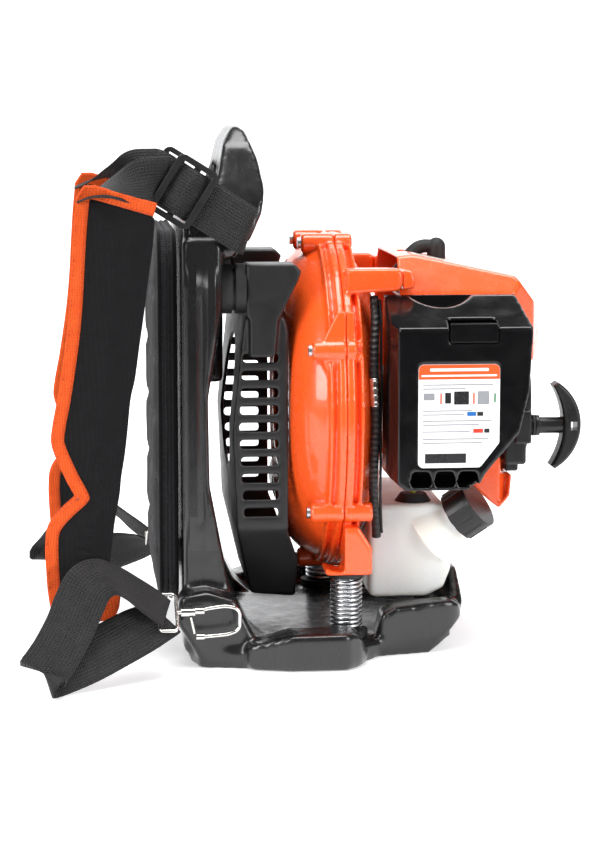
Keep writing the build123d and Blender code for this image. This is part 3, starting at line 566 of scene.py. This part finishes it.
def ribbon(name, stations, width, mirrored, steps=8):
    """A flat woven band: each station is a point and the direction its width lies in."""
    line = spline(mm([s[0] for s in stations]), steps)
    ways = spline([Vector(s[1]).normalized() for s in stations], steps)
    rows, uvs, run = [], [], 0.0
    for i, (p, way, t) in enumerate(zip(line, ways, tangents(line))):
        if i:
            run += (p - line[i - 1]).length
        way = (way - t * way.dot(t)).normalized()
        n = t.cross(way)
        row, marks = [], []
        for side in (1, -1):
            for j in range(RIBBON_COLUMNS):
                u = side * (2 * j / (RIBBON_COLUMNS - 1) - 1)
                cup = 0.0007 * (1 - u * u) + 0.00035 * math.sin(70 * run + 2.1 * u)
                edge = WEBBING_THICK / 2 * (1 - 0.45 * u ** 8)
                row.append(p + way * (u * width / 2) + n * (cup + side * edge))
                marks.append(((u + 1) / 2 * width, run))
        rows.append(row)
        uvs += marks
    verts, faces = sleeve(rows)
    obj = make(name, verts, faces, "webbing", "carrier", uvs, mirrored=mirrored)
    return obj


def upper_strap(label, mirrored):
    """From the pad's top through the slider, down the shoulder and round its rear edge."""
    run = (0.53, 0, 0.848)
    stations = [((-204, -151, 405), (0.05, 1, 0)), ((-192, -150.5, 410), (0.07, 1, 0.05)),
                ((-175, -150, 415.5), (0.2, 0.8, 0.35)), ((-157, -149, 419), (0.36, 0.5, 0.66)),
                ((-143, -145, 421.5), (0.45, 0.25, 0.8)), ((-130.5, -136.8, 422.6), run),
                ((-123, -136.6, 419.6), run), ((-118, -141, 416.4), run),
                ((-112.6, -144.2, 413), run), ((-107, -141, 409.5), run),
                ((-102, -136.6, 406.4), run), ((-94, -136, 401.4), run),
                ((-80, -135.2, 392.6), run), ((-66, -134.6, 383.9), (0.5, 0, 0.86)),
                ((-59, -133.2, 379.6), (0.42, 0, 0.9)), ((-56.4, -127, 378.4), (0.3, 0, 0.95)),
                ((-56.2, -116, 378.2), (0.22, 0, 0.97)), ((-56.4, -101, 378), (0.2, 0, 0.98))]
    return ribbon("upper_strap_" + label, stations, 0.042, mirrored)


def lower_strap(label, mirrored):
    """Round the snap hook's ring, over a hump, folded at the floor and back underneath."""
    slope = (0, 0.864, 0.503)
    stations = [((-131.5, -172, 53.6), slope), ((-140, -173, 61), slope),
                ((-153, -176, 71), (-0.05, 0.86, 0.5)), ((-168, -181, 83), (-0.18, 0.84, 0.5)),
                ((-183, -188, 90.5), (-0.36, 0.72, 0.58)), ((-197, -196, 86), (-0.5, 0.5, 0.7)),
                ((-206, -205, 71), (-0.58, 0.3, 0.75)), ((-214, -216, 54), (-0.6, 0.15, 0.78)),
                ((-225, -229, 36), (-0.6, 0.1, 0.78)), ((-234, -238.5, 24.5), (-0.6, 0.1, 0.78)),
                ((-236.2, -240, 21.4), (-0.6, 0.1, 0.78)),
                ((-233, -236.5, 19.4), (-0.6, 0.1, 0.78)),
                ((-219, -226, 21.5), (-0.6, 0.12, 0.78)), ((-200, -214, 26.5), (-0.56, 0.16, 0.8)),
                ((-180, -203, 34), (-0.45, 0.3, 0.84)), ((-160, -192, 42), (-0.3, 0.5, 0.8)),
                ((-143, -181, 48), (-0.1, 0.75, 0.62)), ((-133.5, -174, 51), slope)]
    return ribbon("lower_strap_" + label, stations, 0.043, mirrored,
                  steps=7)


def straps():
    for label, mirrored in (("left", False), ("right", True)):
        upper = upper_strap(label, mirrored)
        lower = lower_strap(label, mirrored)
        if not mirrored:
            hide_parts("upper_webbings")
            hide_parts("lower_webbings")


# ---- shoulder pads -------------------------------------------------------------------
PAD_OUTER = [(-193, 409), (-196, 378), (-198, 348), (-200, 318), (-203, 289), (-207, 262),
             (-211, 238), (-216, 212), (-216, 200), (-206, 176), (-196.5, 157), (-198, 150),
             (-211, 138), (-221, 126), (-223, 112), (-222.5, 92), (-221, 72), (-218.5, 56)]
PAD_INNER = [(-138, 393), (-140, 368), (-144, 340), (-147.5, 314), (-152, 284), (-156, 256),
             (-160, 238), (-163, 210), (-165.5, 190), (-168.5, 172), (-170, 158), (-172.5, 144),
             (-175, 130), (-176.5, 116), (-178.5, 100), (-180.5, 84), (-181.5, 72), (-183, 59)]
PAD_MIDDLE_Y = -0.1605
PAD_EDGE, PAD_CROWN = 0.0034, 0.0086     # half thickness at the rim and in the middle
PAD_COLUMNS = 30
KINK = Vector((-0.196, 0, 0.154))


def pad_rails():
    rails = []
    for rail in (PAD_OUTER, PAD_INNER):
        line = spline([Vector((x, 0, z)) * 0.001 for x, z in rail], 10)
        rails.append(line)
    return rails


def pad_half(depth):
    return PAD_EDGE + (PAD_CROWN - PAD_EDGE) * eased(depth / 0.027)


def crease(x, z):
    """Folds that fan out from the kink, and slack over the whole face."""
    away = Vector((x, 0, z)) - KINK
    fan = math.exp(-away.length / 0.034)
    ripple = math.sin(math.atan2(away.z, away.x + 0.004) * 7.0 + away.length * 90)
    low = math.exp(-((z - 0.112) / 0.02) ** 2) * math.sin(z * 620 + x * 130)
    slack = noise.noise(Vector((x * 34, 3.1, z * 20)))
    return 0.0042 * fan * ripple + 0.0016 * low + 0.0016 * slack


def pad_rows():
    outer, inner = pad_rails()
    n = len(outer)
    rows = []
    for i in range(n):
        o, c = outer[i], inner[i]
        along = min(i, n - 1 - i) * 0.0021
        width = (c - o).length
        front, back = [], []
        for j in range(PAD_COLUMNS + 1):
            t = j / PAD_COLUMNS
            p = o.lerp(c, t)
            depth = min(t * width, (1 - t) * width, along)
            half = pad_half(depth)
            soft = crease(p.x, p.z) * eased((depth - 0.010) / 0.012)
            front.append(Vector((p.x, PAD_MIDDLE_Y - half - max(-0.003, soft) * 0.8, p.z)))
            back.append(Vector((p.x, PAD_MIDDLE_Y + half + soft * 0.3, p.z)))
        rows.append(front + back[::-1])
    return rows


def rim_line():
    """Bound part of the pad's rim: up from the inner bottom corner, round and along the top."""
    outer, inner = pad_rails()
    n = len(outer)
    low = [inner[k] for k in range(n - 14, n)]
    bottom = [inner[-1].lerp(outer[-1], t) for t in (0.15, 0.35, 0.55, 0.75, 0.9)]
    top = [outer[0].lerp(inner[0], t) for t in (0.08, 0.25, 0.45, 0.65, 0.85, 0.97)]
    return spaced(low + bottom + outer[::-1] + top, 260)


def inward(line):
    """Unit directions in the pad's plane from its rim towards its body."""
    return [Vector((-t.z, 0, t.x)) for t in tangents(line)]


def binding_rows(line):
    rows = []
    section = [(0.0112, 1), (0.0085, 1), (0.0055, 1), (0.0025, 1), (0.0004, 0.72), (-0.0013, 0),
               (0.0004, -0.72), (0.0025, -1), (0.0055, -1), (0.0085, -1), (0.0112, -1)]
    ways = inward(line)
    for i, (p, way) in enumerate(zip(line, ways)):
        wave = 0.0004 * math.sin(i * 0.9) + 0.0003 * math.sin(i * 0.37 + 1)
        row = []
        for thick in (0.0011, 0.0003):
            ring = [p + way * depth + Vector((0, PAD_MIDDLE_Y - side * (pad_half(depth) + thick
                    + (wave if 0.002 < depth < 0.01 else 0)), 0)) for depth, side in section]
            row += ring if thick > 0.001 else ring[::-1]
        rows.append(row)
    return rows


def shoulder_pad(label, mirrored):
    verts, faces = sleeve(pad_rows())
    pad = make("shoulder_pad_cushion_" + label, verts, faces, "pad_fabric", "carrier",
               detail=1, mirrored=mirrored)
    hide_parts("shoulder_pad_" + label)
    line = rim_line()
    verts, faces = sleeve(binding_rows(line))
    make("pad_binding_" + label, verts, faces, "binding", "carrier",
         mirrored=mirrored)
    for depth, tag in ((0.0096, "inner"), (0.0016, "outer")):
        seam = [p + way * depth + Vector((0, PAD_MIDDLE_Y - pad_half(depth) - 0.0011, 0))
                for p, way in zip(line, inward(line))]
        stitches(f"pad_stitches_{tag}_{label}", seam, [p - Vector((0, 0.01, 0)) for p in seam],
                 "orange_thread", "carrier", mirrored=mirrored)


# ---- back pad --------------------------------------------------------------------------
BACK_HALF_Y, BACK_LOW, BACK_HIGH, BACK_CORNER = 0.1105, 0.050, 0.376, 0.030
BACK_FRONT, BACK_REAR = -0.1335, -0.1195
CHANNEL_PITCH, CHANNEL_Y = 0.0544, 0.042   # sewn channels: rows, and the two upright ones


def back_outline(count):
    """Rounded rectangle in Y and Z, as equally spaced points."""
    r, y1, z0, z1 = BACK_CORNER, BACK_HALF_Y, BACK_LOW, BACK_HIGH
    line = []
    for cy, cz, start in ((y1 - r, z0 + r, -90), (y1 - r, z1 - r, 0), (r - y1, z1 - r, 90),
                          (r - y1, z0 + r, 180)):
        for k in range(9):
            a = math.radians(start + 90 * k / 8)
            line.append(Vector((0, cy + r * math.cos(a), cz + r * math.sin(a))))
    line.append(line[0].copy())
    return spaced(line, count + 1)[:-1]


def quilt(y, z):
    """Depth of the sewn channels at a point of the pad's face, 0 in a seam and 1 between."""
    up = abs(math.sin(math.pi * (z - BACK_LOW) / CHANNEL_PITCH))
    side = min(1.0, abs(abs(y) - CHANNEL_Y) / 0.014)
    return min(1.0, up * 2.2) ** 0.6 * (0.35 + 0.65 * eased(side))


def back_pad_rows():
    outline = back_outline(160)
    centre = Vector((0, 0, (BACK_LOW + BACK_HIGH) / 2))
    rows = []
    for ring in range(26):
        share = ring / 25
        edge = eased((1 - share) / 0.16)
        row = []
        for p in outline:
            q = centre.lerp(p, share)
            puff = 0.0012 + 0.0044 * edge * quilt(q.y, q.z)
            puff += 0.0006 * noise.noise(Vector((2.0, q.y * 40, q.z * 40))) * edge
            row.append(Vector((BACK_FRONT - puff, q.y, q.z)))
        rows.append(row)
    for x, out in ((-0.1315, 0.0004), (-0.1290, 0.0016), (-0.1272, 0.0009), (-0.1265, -0.0006),
                   (-0.1258, 0.0009), (-0.1240, 0.0016), (-0.1212, 0.0004)):
        rows.append([p + Vector((x, 0, 0)) + (p - centre).normalized() * out for p in outline])
    for ring in range(8):
        share = 1 - ring / 7
        rows.append([centre.lerp(p, share) + Vector((BACK_REAR + 0.0018 * (1 - share), 0, 0))
                     for p in outline])
    return rows


def back_pad():
    verts, faces = sleeve(back_pad_rows())
    pad = make("back_pad_cushion", verts, faces, "mesh", "carrier")
    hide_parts("back_pad")
    outline = back_outline(200)
    for x, tag in ((BACK_FRONT + 0.0006, "front"), (BACK_REAR - 0.0002, "rear")):
        line = [p + Vector((x, 0, 0)) for p in outline]
        round_tube("back_pad_piping_" + tag, line, 0.0019, "pad_fabric", "carrier",
                   closed=True)


# ---- labels ----------------------------------------------------------------------------
LABEL_FACE = -159.7      # Y of the marks' back, just inside the label's film


def plate(x0, x1, z0, z1, near, far, high, low=None, steps=5):
    """A thin plate that faces the machine's left, with the radii of its high and low corners."""
    low = low or high
    ring = []
    for x, z, r, start in ((x1 - low, z0 + low, low, -90), (x1 - high, z1 - high, high, 0),
                           (x0 + high, z1 - high, high, 90), (x0 + low, z0 + low, low, 180)):
        for k in range(steps):
            a = math.radians(start + 90 * k / (steps - 1))
            ring.append((x + r * math.cos(a), z + r * math.sin(a)))
    rows = [[Vector((x, y, z)) * 0.001 for x, z in ring] for y in (near, far)]
    return sleeve(rows)


def prints():
    """Blank generic marks on the airbox label: a header band, rules and plain blocks."""
    rules = [(91, 152, 246.8), (91, 128, 243.4), (91, 134, 224.2), (91, 127, 220.8),
             (91, 151, 215.4), (91, 140, 212), (91, 132, 206), (91, 148, 199.6), (91, 143, 196.2)]
    marks = {"print_orange": [(87.2, 157.8, 252, 264.8, 4.6, 0.2),
                              (106, 107.4, 230.5, 240, 0.2), (134.6, 136, 230.5, 240, 0.2)],
             "print_grey": [(x0, x1, z, z + 0.9, 0.3) for x0, x1, z in rules]
             + [(91.5, 101, 234, 240, 0.8), (138.6, 148.6, 230, 241.5, 0.6)],
             "print_dark": [(110.2, 115.4, 231, 240.5, 0.8), (118, 131, 230, 241.5, 0.8),
                            (138.4, 143.6, 220, 223.6, 0.4), (144.6, 149.2, 205.2, 208.8, 0.4),
                            (93, 129, 179, 187.4, 0.8)],
             "print_blue": [(129.6, 137.4, 220, 223.6, 0.4)],
             "print_red": [(135, 143.6, 205.2, 208.8, 0.4)],
             "print_green": [(153, 154.4, 231.5, 239.5, 0.2)],
             "label": [(97, 148, 259, 261.6, 0.6), (89.6, 155.4, 254.4, 256, 0.4)]}
    for paint, boxes in marks.items():
        near = LABEL_FACE - (0.22 if paint == "label" else 0.16)
        verts, faces = [], []
        for x0, x1, z0, z1, *corners in boxes:
            more, ring = plate(x0, x1, z0, z1, near, LABEL_FACE, *corners)
            first = len(verts)
            verts += more
            faces += [tuple(first + k for k in f) for f in ring]
        make("label_" + paint, verts, faces, paint, "air_cover", smooth=False)


def laid_on(name, node, x, y, size, paint, lift, steps=16):
    """A thin sticker pressed down on a CAD surface, found by casting onto it."""
    tree = BVHTree.FromObject(NODES[node], bpy.context.evaluated_depsgraph_get())
    way = Vector((0, 0, -1))
    flat = Vector((1, 0, 0))
    other = way.cross(flat)
    rows = []
    for i in range(steps + 1):
        row, back = [], []
        for j in range(steps + 1):
            start = (flat * (x + size[0] * (i / steps - 0.5))
                     + other * (y + size[1] * (j / steps - 0.5)) - way * 0.6)
            hit = tree.ray_cast(start, way)
            p = hit[0] if hit[0] is not None else start + way * 0.6
            row.append(p - way * lift)
            back.append(p + way * 0.0004)
        rows.append(row + back[::-1])
    verts, faces = sleeve(rows)
    return make(name, verts, faces, paint, "carrier")


def stickers():
    for name, x, y, size, paint in (
            ("top_sticker", 0.124, 0.036, (0.052, 0.024), "label"),
            ("top_sticker_band", 0.124, 0.0405, (0.046, 0.006), "print_green"),
            ("top_sticker_bar", 0.118, 0.031, (0.030, 0.0022), "print_grey")):
        lift = 0.00012 if paint == "label" else 0.00026
        laid_on(name, "engine_cover", x, y, size, paint, lift)


# ---- small hardware seen in the open ------------------------------------------------------
def ferrule():
    """Crimped sleeve where the throttle conduit's outer tube meets its spiral wrap."""
    line = spaced(mm([(52.75, -127.0, 250), (53.4, -127.25, 237), (54.2, -127.45, 225)]), 41)
    def radius(i):
        groove = 0.0004 * (1 if i % 10 in (4, 5) else 0)
        return (0.0046 if 0 < i < 40 else 0.0041) - groove
    round_tube("conduit_ferrule", line, radius, "nickel", "carrier", sides=20)


def second_line():
    """Thin stop-switch lead that follows the conduit."""
    line = spline(mm([(60.8, -100.5, 316), (61, -110, 296), (60.2, -117, 268), (60.6, -119, 238),
                      (59.6, -118.6, 206), (60.2, -117, 176), (60.6, -112, 148),
                      (62, -105, 126), (63.5, -101, 108)]), 10)
    round_tube("stop_lead", line, 0.0012, "rubber", "carrier", sides=8)


def rope_end():
    """The stretch of starter rope between the guide and the handle."""
    rest = mm([(200.5, -60, 197), (213, -60, 197)])
    line = spaced(rest, 60)
    verts, faces = sleeve(round_rows(line, 0.0018, 8))
    rope = placed("starter_rope_run", verts, faces, PAINT["rope"])
    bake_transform(rope)


# ---- stage -------------------------------------------------------------------------
def matt_white():
    """White sweep: it glows behind the object, less under it, and fades out in front."""
    p = Paint("stage_white")
    y = p.node("SeparateXYZ", {"Vector": p.place}).outputs[1]
    near = p.span(y, 0.0, 1.0, -1.15, -0.72)
    glow = p.maths("MULTIPLY", near, p.span(y, 0.52, 1.0, 0.3, 1.6))
    white = p.tint(p.noise(3, 2), (0.80, 0.80, 0.815), (0.84, 0.84, 0.85))
    p.set(Base_Color=p.tint(near, (0.02, 0.02, 0.02), white),
          Roughness=0.8, Specular_IOR_Level=0.1, Emission_Color=(0.985, 0.99, 1.0, 1.0),
          Emission_Strength=glow)
    return p.material


def backdrop():
    """Floor that curves up into a wall far behind."""
    profile = [(-4.0, 0.0), (3.0, 0.0)]
    for k in range(1, 13):
        a = math.radians(7.5 * k)
        profile.append((3.0 + 2.0 * math.sin(a), 2.0 - 2.0 * math.cos(a)))
    profile.append((5.0, 6.0))
    verts, faces = [], []
    for y, z in profile:
        verts += [(-6.0, y, z), (6.0, y, z)]
    for k in range(len(profile) - 1):
        faces.append((2 * k, 2 * k + 1, 2 * k + 3, 2 * k + 2))
    placed("backdrop", verts, faces, matt_white())


def area_light(name, place, target, size, watts, colour=(1.0, 1.0, 1.0)):
    data = bpy.data.lights.new(name, "AREA")
    data.shape = "RECTANGLE"
    data.size, data.size_y = size
    data.energy = watts
    data.color = colour
    obj = bpy.data.objects.new(name, data)
    obj.location = place
    aim = Vector(target) - Vector(place)
    obj.rotation_euler = aim.to_track_quat("-Z", "Y").to_euler()
    bpy.context.scene.collection.objects.link(obj)


def lights():
    area_light("softbox_top", (0.1, -0.3, 2.2), (0, 0, 0.2), (1.7, 1.0), 46)
    area_light("softbox_left", (-1.7, -1.5, 1.1), (0, 0, 0.2), (1.0, 1.6), 42)
    area_light("softbox_right", (1.6, -1.7, 0.9), (0, 0, 0.2), (0.8, 1.4), 28)
    area_light("back_fill", (0.0, 2.2, 1.8), (0, 0.6, 0.2), (2.4, 1.4), 14)
    world = bpy.data.worlds.new("studio")
    bpy.context.scene.world = world
    world.use_nodes = True
    world.node_tree.nodes["Background"].inputs["Color"].default_value = (1, 1, 1.0, 1)
    world.node_tree.nodes["Background"].inputs["Strength"].default_value = 0.13


def camera():
    turn, rise, away = math.radians(-5.5), math.radians(8), 2.2
    back = Vector((math.sin(turn) * math.cos(rise), -math.cos(turn) * math.cos(rise),
                   math.sin(rise)))
    data = bpy.data.cameras.new("camera")
    data.sensor_width = 36.0
    data.lens = 100.75
    obj = bpy.data.objects.new("camera", data)
    obj.location = Vector((0, 0, 0.192)) + back * away
    obj.rotation_euler = (-back).to_track_quat("-Z", "Y").to_euler()
    bpy.context.scene.collection.objects.link(obj)
    bpy.context.scene.camera = obj


def studio():
    backdrop()
    lights()
    camera()
    bpy.context.scene.view_settings.view_transform = "Standard"


finish_cad_nodes()
soften_mouldings()
straps()
for label, mirrored in (("left", False), ("right", True)):
    shoulder_pad(label, mirrored)
back_pad()
prints()
stickers()
ferrule()
second_line()
rope_end()
studio()
